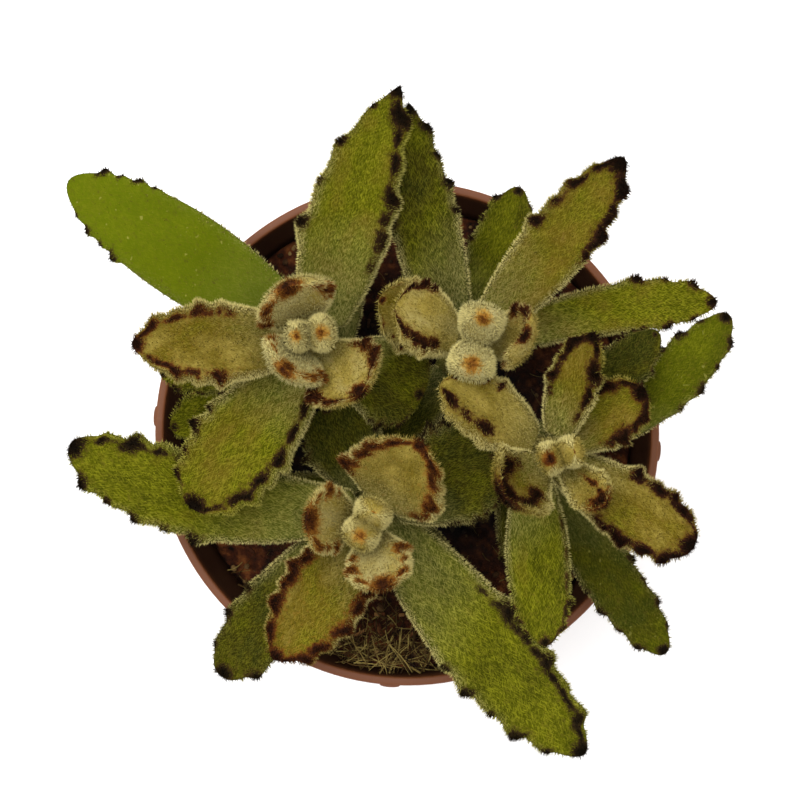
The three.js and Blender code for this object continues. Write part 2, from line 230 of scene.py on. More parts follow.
def lugs_and_drains():
    """The lugs that are joined to the lip, and the plugs that are cut out of the floor."""
    lugs = bmesh.new()
    for i in range(LUGS):
        turn = Matrix.Rotation(math.radians(LUG_BEARING + 360 / LUGS * i), 4, "Z")
        centre = Vector((RIM_RADIUS, 0, POT_HEIGHT - LUG_BELOW - LUG_HEIGHT / 2))
        stretch = Matrix.Diagonal((LUG_PROUD, LUG_SPREAD, 1, 1))
        cylinder(lugs, 1, LUG_HEIGHT, turn @ Matrix.Translation(centre) @ stretch)
    plugs = bmesh.new()
    for i in range(DRAINS):
        turn = Matrix.Rotation(TAU * (i + 0.5) / DRAINS, 4, "Z")
        cylinder(plugs, DRAIN_RADIUS, 4 * FLOOR, turn @ Matrix.Translation((DRAIN_RING, 0, 0)))
    return {"UNION": to_object("pot_lugs", lugs), "DIFFERENCE": to_object("pot_plugs", plugs)}


def moulded_polypropylene():
    """Recycled brown polypropylene, injection moulded: a dull satin skin with faint flow marks round the
    pot, a little grey dust where peat has dried on it, and a darker colour all over its inside."""
    made, tree, into = material("moulded_polypropylene", Roughness=0.55, Specular_IOR_Level=0.3)
    place = add(tree, "TexCoord").outputs["Object"]
    # Flow marks are about 50 mm long and 4 mm high, and the dust lies in patches of 2.4 mm.
    flow = add(tree, "Mapping", {"Vector": place, "Scale": (20, 20, 260)}).outputs["Vector"]
    skin = ramped(tree, speckle(tree, flow, 1.0, 3.0), [(0.3, "#683A1E"), (0.7, "#704022")])
    dust = ramped(tree, speckle(tree, place, 420.0, 5.0, Roughness=0.7), [(0.6, 0.0), (0.8, 0.4)])
    colour = mix(tree, dust, skin, "#7E563A")
    # It is darker below the lip and inside the middle of the wall, whose slope is taken out first.
    height = add(tree, "SeparateXYZ", {0: place}).outputs["Z"]
    slope = wall_radius(0) - wall_radius(1)
    upright = compute(tree, "MULTIPLY_ADD", height, slope, from_axis(tree, place))
    middle = (FOOT_RADIUS - WALL / 2) * MM
    inside = remap(tree, upright, middle - 0.2 * MM, middle + 0.2 * MM, 0.85, 0.0)
    top = POT_HEIGHT * MM
    below_lip = remap(tree, height, top - 3 * MM, top - 0.8 * MM, 1.0, 0.0)
    darker_inside = compute(tree, "MULTIPLY", inside, below_lip)
    tree.links.new(mix(tree, darker_inside, colour, "#2A170C"), into["Base Color"])
    emboss(tree, into, speckle(tree, place, 1 / (0.6 * MM), 2.0), 0.25, 0.1)
    return made


pot = to_object("nursery_pot", lathe(pot_profile(), POT_STEPS))
trims = lugs_and_drains()
for operation, tool in trims.items():
    cut = pot.modifiers.new(operation.lower(), "BOOLEAN")
    cut.operation, cut.solver, cut.object = operation, "EXACT", tool
trimmed = bpy.data.meshes.new_from_object(pot.evaluated_get(bpy.context.evaluated_depsgraph_get()))
pot.modifiers.clear()
pot.data = trimmed
pot.data.materials.clear()
pot.data.materials.append(moulded_polypropylene())
pot.data.set_sharp_from_angle(angle=math.radians(SHARP_FROM))
for tool in trims.values():
    bpy.data.objects.remove(tool)
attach(pot, "root")
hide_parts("pot")

# ------------------------------ the peat
# Moist black peat with crumbs, chips of bark and pale straw fibres pressed into its top. It fills the pot
# to about a centimetre under the lip.
SOIL_LEVEL = 70.5
SOIL_LUMP, SOIL_ROUGH, SOIL_EDGE_DROP, SOIL_CLEAR, SOIL_GAP = 1.3, 1.3, 2, 1.55, 0.45
SOIL_RINGS, SOIL_STEPS = 56, 150
HEAP_HEIGHT, HEAP_X, HEAP_Y, HEAP_WIDE, HEAP_DEEP = 9.5, -3, -49, 20, 9
CRUMBS, CHIPS, STRAWS = 1100, 240, 820
STRAW_BEND, STRAWS_ON_HEAP = 2.5, 0.6
# Pieces of the real plant that touch are kept this far apart.
GAP = 0.3
SOIL_REACH = wall_radius(SOIL_LEVEL) - SOIL_CLEAR - 1
draw = np.random.default_rng(41)


def set_on_points(mesh, name, numbers):
    """Numbers or vectors that the mesh carries on its points."""
    kind, key = ("FLOAT_VECTOR", "vector") if numbers.ndim == 2 else ("FLOAT", "value")
    mesh.attributes.new(name, kind, "POINT").data.foreach_set(key, numbers.astype(np.float32).ravel())


def copies(name, template, places, axes, values):
    """One mesh of many copies of a small shape. axes holds three vectors for each copy, which its x, y and
    z are turned and scaled to. values are attributes with one number for each copy, and the attribute reach
    goes from 0 to 1 along each copy."""
    corner = np.array([v.co for v in template.verts])
    template.verts.index_update()
    sides = [[v.index for v in face.verts] for face in template.faces]
    template.free()
    count, points = len(places), len(corner)
    spots = np.einsum("pk,nkd->npd", corner, axes) + places[:, None]
    faces = [[points * copy + i for i in side] for copy in range(count) for side in sides]
    mesh = bpy.data.meshes.new(name)
    mesh.from_pydata((spots * MM).astype(np.float32).reshape(-1, 3), [], faces, shade_flat=False)
    for attribute, numbers in values.items():
        set_on_points(mesh, attribute, np.repeat(numbers, points))
    reach = (corner[:, 2] - corner[:, 2].min()) / np.ptp(corner[:, 2])
    set_on_points(mesh, "reach", np.tile(reach, count))
    # Every copy has a cell of its own in the map, with each of its faces spread over that cell.
    across = math.ceil(math.sqrt(count))
    cell = np.stack([np.arange(count) % across, np.arange(count) // across], 1)
    fan = np.concatenate([np.arange(len(side)) / (len(side) - 1) for side in sides])
    ring = np.concatenate(sides)
    inside = 0.15 + 0.7 * np.stack([fan, 0.5 * reach[ring] + 0.5 * (fan == 0.5)], 1)
    layout = mesh.uv_layers.new(name="OFBake")
    layout.data.foreach_set("uv", ((cell[:, None] + inside[None]) / across).astype(np.float32).ravel())
    mesh.validate()
    return in_scene(name, mesh)


def unit(vectors):
    return vectors / np.linalg.norm(vectors, axis=-1, keepdims=True)


def square_axes(ahead):
    """For each direction, two more at right angles to it, with a drawn turn about it."""
    aside = unit(np.cross(ahead, unit(draw.normal(size=ahead.shape))))
    return aside, np.cross(ahead, aside)


def soil_height(x, y):
    """The uneven top of the peat, in broad swells and small crumbs, heaped against the pot on one side."""
    swell = 0.5 * math.sin(0.31 * x + 1.3) * math.sin(0.27 * y)
    lumps = 0.3 * math.sin(0.62 * x - 0.45 * y) + 0.2 * math.cos(0.5 * x + 0.83 * y)
    rough = noise.fractal((x / 2.2, y / 2.2, 0.0), 0.7, 2.1, 5)
    heap = HEAP_HEIGHT * math.exp(-(((x - HEAP_X) / HEAP_WIDE) ** 2) - ((y - HEAP_Y) / HEAP_DEEP) ** 2)
    return SOIL_LEVEL + SOIL_LUMP * (swell + lumps) + SOIL_ROUGH * rough + heap


def peat_body():
    """The peat in one closed body, from just above the pot's floor to its uneven top."""
    bottom = FLOOR + GAP
    shoulder = SOIL_LEVEL - SOIL_EDGE_DROP
    edge = wall_radius(shoulder) - SOIL_CLEAR
    top = [(edge * i / SOIL_RINGS, SOIL_LEVEL) for i in range(SOIL_RINGS - 1, -1, -1)]
    bm = lathe([(0, bottom), (wall_radius(bottom) - 3, bottom), (edge, shoulder), *top], SOIL_STEPS)
    for v in bm.verts:
        if v.co.z > shoulder + 0.1:
            v.co.z = soil_height(v.co.x, v.co.y)
            # The heap leans against the wall, which widens upwards.
            outer = (math.hypot(v.co.x, v.co.y) / edge) ** 4
            v.co.xy = v.co.xy * (1 + outer * max(0, inner_radius(v.co.z) - SOIL_GAP - edge) / edge)
    return bm


def on_soil(x, y, sink):
    """Places over the peat, a little sunk into it."""
    z = np.array([soil_height(*xy) for xy in zip(x, y, strict=True)]) - sink
    return np.stack([x, y, z], 1)


def strewn(count, reach, sink):
    """Drawn places all over the peat."""
    radius = reach * np.sqrt(draw.random(count))
    bearing = draw.random(count) * TAU
    return on_soil(radius * np.cos(bearing), radius * np.sin(bearing), sink)


def lying(count, lift, uneven):
    """Drawn directions over the peat, which rise and fall by a drawn slope."""
    bearing = draw.random(count) * TAU
    slope = draw.normal(lift, uneven, count)
    return unit(np.stack([np.cos(bearing), np.sin(bearing), slope], 1))


def peat_crumbs():
    """Crumbs of peat from dust to small clods."""
    bm = bmesh.new()
    bmesh.ops.create_icosphere(bm, subdivisions=1, radius=1)
    size = 0.3 + 0.8 * draw.random(CRUMBS) ** 3
    turned = unit(draw.normal(size=(CRUMBS, 3)))
    aside, third = square_axes(turned)
    stretch = size[:, None] * (0.7 + 0.6 * draw.random((CRUMBS, 3)))
    axes = np.stack([aside, third, turned], 1) * stretch[:, :, None]
    places = strewn(CRUMBS, SOIL_REACH, 0.1)
    return copies("peat_crumbs", bm, places, axes, {"pick": draw.random(CRUMBS)})


def bark_chips():
    """Flat splinters of composted bark."""
    bm = bmesh.new()
    bmesh.ops.create_cube(bm, size=1)
    rounding = {"affect": "EDGES", "segments": 1, "profile": 0.5, "material": -1}
    bmesh.ops.bevel(bm, geom=bm.edges[:], offset=0.12, **rounding)
    ahead = lying(CHIPS, 0, 0.25)
    up = unit(np.array([0, 0, 1]) + draw.normal(0, 0.3, (CHIPS, 3)))
    aside = unit(np.cross(up, ahead))
    length, width, thickness = (1.0, 3.6), (0.4, 1.1), (0.3, 0.5)
    size = np.stack([draw.uniform(*span, CHIPS) for span in (length, width, thickness)])
    axes = np.stack([ahead, aside, np.cross(ahead, aside)], 1) * size.T[:, :, None]
    places = strewn(CHIPS, SOIL_REACH - 2, -0.2)
    return copies("bark_chips", bm, places, axes, {"pick": draw.random(CHIPS)})


def straw_fibres():
    """Pale stalks of moss and straw, bent and tangled on the peat."""
    bm = bmesh.new()
    bmesh.ops.create_cone(bm, segments=3, radius1=1, radius2=0.5, depth=1, cap_ends=True)
    long_edges = [e for e in bm.edges if abs(e.verts[0].co.z - e.verts[1].co.z) > 0.5]
    bmesh.ops.subdivide_edges(bm, edges=long_edges, cuts=3, use_grid_fill=True)
    for v in bm.verts:
        v.co = (v.co.x, v.co.y + STRAW_BEND * (4 * v.co.z**2 - 1), v.co.z)
    ahead = lying(STRAWS, 0.02, 0.08)
    aside, third = square_axes(ahead)
    # Most of them lie in a tangle on the heap by the rim.
    heaped = draw.random(STRAWS) < STRAWS_ON_HEAP
    thick = (draw.uniform(0.04, 0.1, STRAWS) * (1 + 0.5 * heaped))[:, None]
    long = (draw.uniform(1, 5.5, STRAWS) * (1 + 0.8 * heaped))[:, None]
    # Some are flat ribbons, and those bend the most.
    ribbon = draw.uniform(0.6, 3, (STRAWS, 1))
    axes = np.stack([aside * thick, third * thick * ribbon, ahead * long], 1)
    places = strewn(STRAWS, SOIL_REACH - 4, -0.2)
    x = draw.normal(-4, 12, STRAWS)
    radius = SOIL_REACH + 2.5 - np.abs(draw.normal(0, 5.5, STRAWS))
    y = -np.sqrt(np.maximum(0, radius**2 - x**2))
    places = np.where(heaped[:, None], on_soil(x, y, -0.2), places)
    # None reaches the wall of the pot.
    ends = np.stack([places + ahead * long * side for side in (-0.5, 0.5)])
    wall = np.array([inner_radius(height) for height in places[:, 2]])
    over = np.hypot(ends[..., 0], ends[..., 1]).max(0) - wall + SOIL_GAP
    held = 1 - np.maximum(0, over) / np.hypot(places[:, 0], places[:, 1])
    places[:, :2] *= held[:, None]
    return copies("straw_fibres", bm, places, axes, {"pick": draw.random(STRAWS) ** 1.3})


def moist_peat(name, ramp):
    """Decayed moss and bark, dark when moist, with dry light-brown crumbs: rough and without any gloss.
    Painted shade darkens it round the stems.
    """
    made, tree, into = material(name, Roughness=0.92, Specular_IOR_Level=0.2)
    place = add(tree, "TexCoord").outputs["Object"]
    # Clods of 2.4 mm, and each crumb, chip or straw has a shade of its own.
    shade = compute(tree, "ADD", speckle(tree, place, 1 / (2.4 * MM), 6.0), *attributes(tree, "pick"))
    colour = ramped(tree, remap(tree, shade, 0.3, 1.4, 0.0, 1.0), ramp)
    # Painted shade: it is darkened round the stems, where the leaves above shade it.
    painted_shade_factor = remap(tree, from_axis(tree, place), 24 * MM, 42 * MM, 0.08, 1.0)
    tree.links.new(scaled(tree, colour, painted_shade_factor), into["Base Color"])
    emboss(tree, into, speckle(tree, place, 1 / (0.9 * MM), 5.0, Roughness=0.65), 1.0, 0.6)
    return made


peat = to_object("peat", peat_body())
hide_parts("soil")
for piece, finish, ramp in (
    (peat, "moist_peat", [(0.0, "#120804"), (0.2, "#46200C"), (0.45, "#8A5024")]),
    (peat_crumbs(), "peat_crumb", [(0.1, "#1C1006"), (0.6, "#54381E"), (1.0, "#987848")]),
    (bark_chips(), "composted_bark", [(0.1, "#281208"), (0.6, "#5C3018"), (1.0, "#9A6E40")]),
    (straw_fibres(), "dry_straw", [(0.1, "#2A1A0A"), (0.5, "#5A421C"), (1.0, "#A89250")]),
):
    piece.data.materials.append(moist_peat(finish, ramp))
    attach(piece, "root")

# ------------------------------ the leaves
# Thick succulent leaves in opposite pairs, each with blunt teeth towards its tip. The youngest are cupped
# like mittens, and old ones lie flat. Each is one piece, and stands just clear of the stem it grew from.
LEAF_NECK, LEAF_THICKNESS, LEAF_LEAST, LEAF_HEEL, LEAF_UPPER = 0.42, 0.2, 2.2, 0.65, 0.4
BASE_ROUND, CUP_AT_STEM = 0.03, 0.35
TOOTH_HEIGHT, TOOTH_PEAK, SMALL_TOOTH, TOOTH_END = 0.1, 0.78, 0.5, 0.93
FELT_INSET, PAD_INSET, BUD_INSET, BUD_THICKNESS = 0.6, 2.0, 1.0, 0.38
MIDRIB_STEPS, LEAF_SIDES, LEAF_RINGS, RING_PITCH = 48, 26, 38, 0.66
STEM_FOOT_RADIUS, STEM_TOP_RADIUS = 3.4, 2.5

# foot and top are where a stem's axis meets the peat and its growing tip, as x and y from the pot's axis.
# height is how far that tip stands above the peat, and leaves is how many rows of the two tables are the
# shoot's own.
SHOOTS = {
    "nw": {"foot": (-12, 13), "top": (-19.5, 20), "height": 56, "leaves": 12},
    "ne": {"foot": (9, 13), "top": (13.5, 18.5), "height": 52, "leaves": 10},
    "e": {"foot": (20, -3), "top": (30, -3.5), "height": 54, "leaves": 13},
    "s": {"foot": (-5, -11), "top": (-8, -17.5), "height": 50, "leaves": 11},
}

# A leaf's form gives, in this order, the height of its base above the peat; its bearing in plan; its
# length; its greatest width; its rise above the horizon, at the base and at the tip; the swing of its
# bearing; its roll about its own midrib; its cup; where it is widest; its taper; the teeth on each margin;
# and where they start.
FORM = "height bearing length width rise swing roll cup belly taper teeth first".split()


def low_leaf(height, bearing, length, width, rise):
    """The form of a small leaf just over the peat. Those differ in their place, size and rise alone."""
    return height, bearing, length, width, rise, 0, 0, 20, 0.55, 0.5, 3, 0.55


LEAVES = [
    # nw
    (47, 115, 17.5, 15, (42, 82), 0, 0, 40, 0.64, 0.4, 3, 0.45),
    (47, 232, 15.5, 13, (50, 86), 0, 0, 38, 0.64, 0.4, 3, 0.45),
    (46, 311, 16.5, 16.5, (32, 60), 0, 0, 44, 0.64, 0.42, 4, 0.4),
    (42, 181, 35.2, 15.8, (26, 28), 0, 0, 34, 0.52, 0.65, 4, 0.42),
    (36, 229.5, 38, 19, (20, 6), 4, -8, 26, 0.58, 0.5, 4, 0.45),
    (37, 81.4, 52.8, 17.2, (26, 24), -20, 14, 28, 0.38, 0.85, 4, 0.3),
    (30, 335, 18, 18, (20, 6), 0, 0, 18, 0.62, 0.4, 4, 0.5),
    (28, 187, 31, 12, (16, 4), 0, 0, 22, 0.5, 0.6, 3, 0.5),
    (22, 144.6, 60.7, 18.7, (14, 4), 4, 0, 14, 0.53, 0.55, 4, 0.7),
    (14, 201.5, 34, 12.5, (16, 4), 0, 0, 24, 0.55, 0.5, 3, 0.5),
    low_leaf(13, 92, 27, 12, (14, -4)),
    low_leaf(10, 138, 24, 11, (12, -6)),
    # ne
    (43, 156, 17.5, 14, (28, 46), 0, 18, 36, 0.62, 0.38, 3, 0.45),
    (42, 14, 18.5, 12.5, (12, 118), -45, 0, 44, 0.62, 0.4, 3, 0.4),
    (36, 51.4, 48, 13.5, (30, 24), 0, 8, 24, 0.55, 0.65, 4, 0.5),
    (31, 112, 49, 13.6, (22, 16), -19, 0, 24, 0.45, 0.75, 4, 0.45),
    (27, 24.2, 49, 10.3, (12, 4), -27, 0, 20, 0.66, 0.55, 3, 0.6),
    (23, 71.5, 33.5, 12, (18, 8), 0, 0, 22, 0.52, 0.55, 3, 0.5),
    (35, 151, 22.5, 14, (30, 52), 0, 10, 34, 0.55, 0.45, 3, 0.5),
    (18, 225, 20, 12, (14, 4), 0, 0, 22, 0.5, 0.6, 3, 0.5),
    low_leaf(12, 52, 27, 12, (14, -2)),
    low_leaf(10, 105, 24, 11.5, (12, -4)),
    # e
    (46, 217, 19, 15.5, (34, 84), 0, 0, 52, 0.64, 0.4, 4, 0.4),
    (46, 312, 16.5, 8.6, (32, 72), 0, 0, 44, 0.6, 0.42, 3, 0.45),
    (43, 72, 25, 11, (34, 32), 0, -20, 46, 0.5, 0.55, 3, 0.4),
    (40, 34, 22, 13, (30, 36), 0, 0, 36, 0.6, 0.42, 4, 0.35),
    (42, 149, 24.5, 14, (30, 20), 0, 22, 38, 0.52, 0.5, 3, 0.4),
    (36.5, 327.5, 33.2, 14.2, (28, 22), 0, 0, 30, 0.62, 0.42, 4, 0.4),
    (30, 269, 36, 13, (22, 6), 8, 0, 20, 0.52, 0.55, 3, 0.72),
    (27, 17.3, 46.3, 12.1, (23, 10), 40, 0, 18, 0.55, 0.5, 4, 0.5),
    (33, 46, 31.2, 11, (24, 14), 0, 0, 24, 0.5, 0.5, 3, 0.6),
    (20, 303, 47, 11.5, (12, 2), 4, 0, 16, 0.58, 0.5, 4, 0.5),
    (16, 210, 20, 12, (14, 4), 0, 0, 20, 0.5, 0.6, 3, 0.5),
    low_leaf(13, 20, 24, 12, (14, -2)),
    low_leaf(10, 278, 24, 11.5, (12, -4)),
    # s
    (41, 178, 18, 12.8, (48, 70), 0, 0, 32, 0.64, 0.4, 3, 0.3),
    (41, 283, 18, 12.4, (42, 66), 0, 0, 32, 0.64, 0.4, 3, 0.3),
    (39, 56, 20, 21, (36, 50), 0, 0, 38, 0.34, 0.7, 4, 0.2),
    (36, 240.5, 33.5, 16.8, (30, 28), -12, 0, 34, 0.5, 0.6, 5, 0.25),
    (28, 183, 59.8, 17, (18, 2), -32.5, -6, 24, 0.55, 0.5, 5, 0.45),
    (27, 307.4, 61.5, 18.2, (18, 4), 7, 0, 22, 0.5, 0.6, 5, 0.42),
    (23, 225.2, 43.5, 14.6, (14, 2), 6, 0, 26, 0.6, 0.45, 3, 0.5),
    (30, 24, 24.5, 20, (18, 6), 0, 0, 16, 0.62, 0.4, 4, 0.5),
    (22, 118, 19, 16, (20, 8), 0, 0, 22, 0.55, 0.5, 3, 0.5),
    low_leaf(12, 305, 28, 12.5, (14, -2)),
    low_leaf(10, 184, 26, 11.5, (12, -4)),
]

# A leaf's looks give its ripeness, from 0 for a pale young leaf to 1 for a dark old one; wool, its share of
# hair; the tone of its marks, from 0 for rust to 1 for near black; and the radius of the mark at its tip.
# Then, for its left margin and its right one as seen from the base, come the radius of the mark on each
# tooth, the width of the dark band, where that band starts, and how far inside the edge the marks lie.
# Margins that are alike are given once. They aren't given where they have no band, and marks at the edge as
# large as the tip's.
SHADED = (0.9, 0.6, 0.93, 0.5)
LOOKS = [
    # nw
    (0.12, 1, 0.43, 1.6, (1.2, 0.3, 0.5, 0.2), (1, 0.4, 0.5, 0.2)),
    (0.06, 1, 0.29, 1.3, (1.1, 0, 1, 0.2), (0.9, 0, 1, 0.2)),
    (0.24, 1, 0.68, 1.2, (1.2, 1.1, 0.2, 0.3), (1.2, 0.9, 0.2, 0.3)),
    (0.4, 1, 0.79, 1.1, (1.1, 0.7, 0.35, 0.9)),
    (0.6, 0.85, 1, 1.4, (1.1, 1, 0.1, 1.5), (0.8, 0, 1, 0.1)),
    (0.62, 0.9, 1, 1.4, (0.8, 0, 1, 0.1), (1.7, 0.8, 0.2, 0.9)),
    (0.9, 0.8, 0.86, 0.6),
    (0.76, 0.8, 0.86, 0.6),
    (0.7, 0.2, 1, 0.01, (0.7, 0, 1, 0)),
    (0.72, 0.8, 0.86, 0.5),
    SHADED,
    SHADED,
    # ne
    (0.27, 1, 0.82, 0.01, (1.4, 1.7, 0.25, 1.3), (1, 0.5, 0.45, 0.1)),
    (0.24, 1, 0.71, 1.2, (1.4, 0.9, 0.4, 0.3), (1.2, 0, 1, 0.6)),
    (0.52, 0.85, 1, 2.2, (1.1, 0.7, 0.6, 0.7), (1.4, 0.8, 0.5, 0.5)),
    (0.88, 0.75, 1, 1.3, (0.9, 0, 1, 0.1), (1, 0, 1, 0.1)),
    (0.6, 0.9, 0.93, 0.8, (0.8, 0, 1, 0), (1, 0, 1, 0)),
    (0.76, 0.6, 0.93, 0.6),
    (0.36, 1, 0.71, 0.5, (0.5, 0, 1, 0.5)),
    (1, 0.6, 0.93, 0.5),
    SHADED,
    SHADED,
    # e
    (0.42, 1, 0.93, 2.2, (2, 2.3, 0.3, 2.5), (2.1, 2.4, 0.25, 2.5)),
    (0.36, 1, 0.64, 1.6, (0.9, 0.6, 0.2, 2), (0.4, 0, 1, 2)),
    (0.52, 0.95, 0.96, 1.2, (1.2, 0.7, 0.3, 0.5), (1.9, 1.1, 0.2, 1.1)),
    (0.5, 0.95, 0.89, 1.5, (1.5, 0.8, 0.15, 1), (1.4, 0.9, 0.3, 0.7)),
    (0.34, 1, 0.96, 0.01, (1.7, 0.4, 0.3, 2.6), (1.2, 0.3, 0.6, 0.7)),
    (0.44, 1, 1, 1.4, (1.1, 1, 0.4, 0.6), (1.2, 1, 0.35, 0.5)),
    (0.7, 0.7, 0.79, 0.7, (0.5, 0.25, 0.2, 0.2), (0.6, 0, 1, 0)),
    (0.8, 0.45, 0.93, 0.8, (0.9, 0, 1, 0)),
    (1, 0.6, 0.93, 0.3),
    (0.94, 0.5, 1, 0.8, (0.7, 0, 1, 0)),
    (1, 0.6, 0.93, 0.5),
    SHADED,
    SHADED,
    # s
    (0.2, 1, 0.37, 2, (1.1, 0.3, 0.5, 0.4), (1.1, 0, 1, 0.4)),
    (0.14, 1, 0.39, 1.7, (1.2, 0, 1, 0.5), (1.3, 0, 1, 0.4)),
    (0.34, 1, 0.57, 1, (1.3, 1.1, 0.1, 0.5), (1.6, 1.5, 0.1, 0.9)),
    (0.45, 0.95, 0.71, 1.1, (1.2, 1.3, 0.1, 0.5), (1.2, 1.2, 0.1, 0.6)),
    (0.67, 0.7, 1, 1.5, (0.9, 0, 1, 0.1), (1.4, 0.4, 0.6, 1.2)),
    (0.72, 0.75, 1, 1.3, (1.4, 0.7, 0.3, 1.2), (1, 0, 1, 0.1)),
    (0.9, 0.8, 0.93, 1.2, (1, 0, 1, 0)),
    (0.95, 0.85, 0.86, 0.7, (0.7, 0.4, 0.3, 0)),
    (0.98, 0.8, 0.86, 0.5),
    SHADED,
    SHADED,
]


class Leaf:
    """One leaf's form and looks, by name."""

    def __init__(self, form, looks):
        vars(self).update(zip(FORM, form, strict=True))
        self.ripe, self.wool, self.tone, self.tip, *margins = looks
        margins = margins or [(self.tip, 0, 1, 0)]
        self.left, self.right = margins[0], margins[-1]
        self.thickness = max(LEAF_LEAST, (LEAF_THICKNESS if self.teeth else BUD_THICKNESS) * self.width)
        # A young leaf is a plump pad, and a bud leaf even more so.
        self.plump = max(0, 1 - self.ripe / 0.5) if self.teeth else 1.2
        self.inset = PAD_INSET * self.plump if self.teeth else BUD_INSET
        # A leaf that has lost its hair has worn its teeth down too.
        self.tooth_height = TOOTH_HEIGHT * self.width * min(1, 0.5 + 0.7 * self.wool)


def opened(s):
    """How far the round base has opened out at s, from 0 to 1."""
    return np.sqrt(1 - (1 - np.minimum(1, s / BASE_ROUND)) ** 2)


def outline(leaf, s):
    """Half-width at s, from 0 at the base to 1 at the tip, as a share of the greatest."""
    widening = np.sin(TAU / 4 * np.minimum(1, s / leaf.belly))
    narrowing = np.maximum(0, (s - leaf.belly) / (1 - leaf.belly))
    return opened(s) * (LEAF_NECK + (1 - LEAF_NECK) * widening) * (1 - narrowing**2) ** leaf.taper


def tooth_turn(leaf, s):
    """Counts the teeth along the margin: it passes a whole number at the foot of each."""
    return leaf.teeth * (s - leaf.first) / (TOOTH_END - leaf.first)


def tooth_size(leaf, count, side):
    """A large tooth on one margin faces a small one on the other, and no two are quite alike."""
    small = (count + (side < 0)) % 2 > 0.5
    own = 0.15 * np.sin(7.3 * count + 2.1 * np.sign(side) + leaf.bearing)
    return np.where(small, SMALL_TOOTH, 1) + own


def tooth(leaf, s, side):
    """Height of the margin's teeth, from 0 to 1."""
    turn = tooth_turn(leaf, s) + 1e-6
    share = turn - np.floor(turn)
    slope = np.minimum(share / TOOTH_PEAK, (1 - share) / (1 - TOOTH_PEAK))
    blunt = slope * slope * (3 - 2 * slope) * 0.7 + slope * 0.3
    toothed = (s > leaf.first) & (s < TOOTH_END)
    return np.where(toothed, blunt * tooth_size(leaf, np.floor(turn), side), 0)


def leaf_axes(leaf, s):
    """The midrib's own axes at s: ahead along the leaf, out of its upper face, and across to its left."""
    rise = np.radians(leaf.rise[0] + (leaf.rise[1] - leaf.rise[0]) * s)
    plan = np.radians(leaf.bearing + leaf.swing * s)
    level = np.stack([np.cos(plan), np.sin(plan), 0 * s], -1)
    up = np.array([0.0, 0.0, 1.0])
    ahead = level * np.cos(rise)[..., None] + up * np.sin(rise)[..., None]
    out = up * np.cos(rise)[..., None] - level * np.sin(rise)[..., None]
    roll = math.radians(leaf.roll)
    out = out * math.cos(roll) + np.cross(ahead, out) * math.sin(roll)
    return ahead, out, np.cross(out, ahead)


def midrib(leaf, base, s):
    """Places on the midrib, walked from the base in even steps."""
    even = np.arange(MIDRIB_STEPS) / MIDRIB_STEPS
    walked = np.cumsum(leaf_axes(leaf, even)[0] * leaf.length / MIDRIB_STEPS, 0)
    walked = np.vstack([np.zeros(3), walked])
    knots = np.arange(MIDRIB_STEPS + 1) / MIDRIB_STEPS
    return base + np.stack([np.interp(s, knots, walked[:, k]) for k in range(3)], -1)


def leaf_surface(leaf, base, s, turn):
    """A point of the leaf's skin, for s along it and a turn round its section. The section is a lens bent
    round an arc, and on a young leaf it is a plump pad with a blunt edge."""
    ahead, out, across = leaf_axes(leaf, s)
    half = (leaf.width / 2 - FELT_INSET * (0.5 + 0.5 * min(1, leaf.plump))) * outline(leaf, s)
    wrap = math.radians(leaf.cup) * np.minimum(1, CUP_AT_STEM + 2 * s)
    fullness = LEAF_HEEL + (1 - LEAF_HEEL) * np.sin(TAU / 2 * np.minimum(1, s + 0.1))
    side = np.cos(turn)
    teeth = leaf.tooth_height * tooth(leaf, s, side) * np.abs(side) ** 3
    above = np.sin(turn) > 0
    upper = LEAF_UPPER * (1 + 0.7 * leaf.plump)
    lower = (1 - LEAF_UPPER) * (1 + 0.75 * leaf.plump)
    lens = np.sign(np.sin(turn)) * np.abs(np.sin(turn)) ** (0.9 - 0.3 * leaf.plump)
    rounded = 1 - s ** (6 + 8 * leaf.plump)
    lift = leaf.thickness * fullness * rounded * opened(s) * np.where(above, upper, lower) * lens
    # A shallow groove runs along the midrib of an older leaf.
    groove = 0.35 * (1 - leaf.plump) * above * np.exp(-((side / 0.1) ** 2)) * np.clip(3 - 4 * s, 0, 1)
    lift = lift - groove * opened(s)
    radius = (half + teeth) / wrap
    sideways = (radius - lift) * np.sin(wrap * side)
    upwards = radius - (radius - lift) * np.cos(wrap * side) + leaf.inset * np.clip(s * 3, 0, 1)
    return midrib(leaf, base, s) + across * sideways[..., None] + out * upwards[..., None]


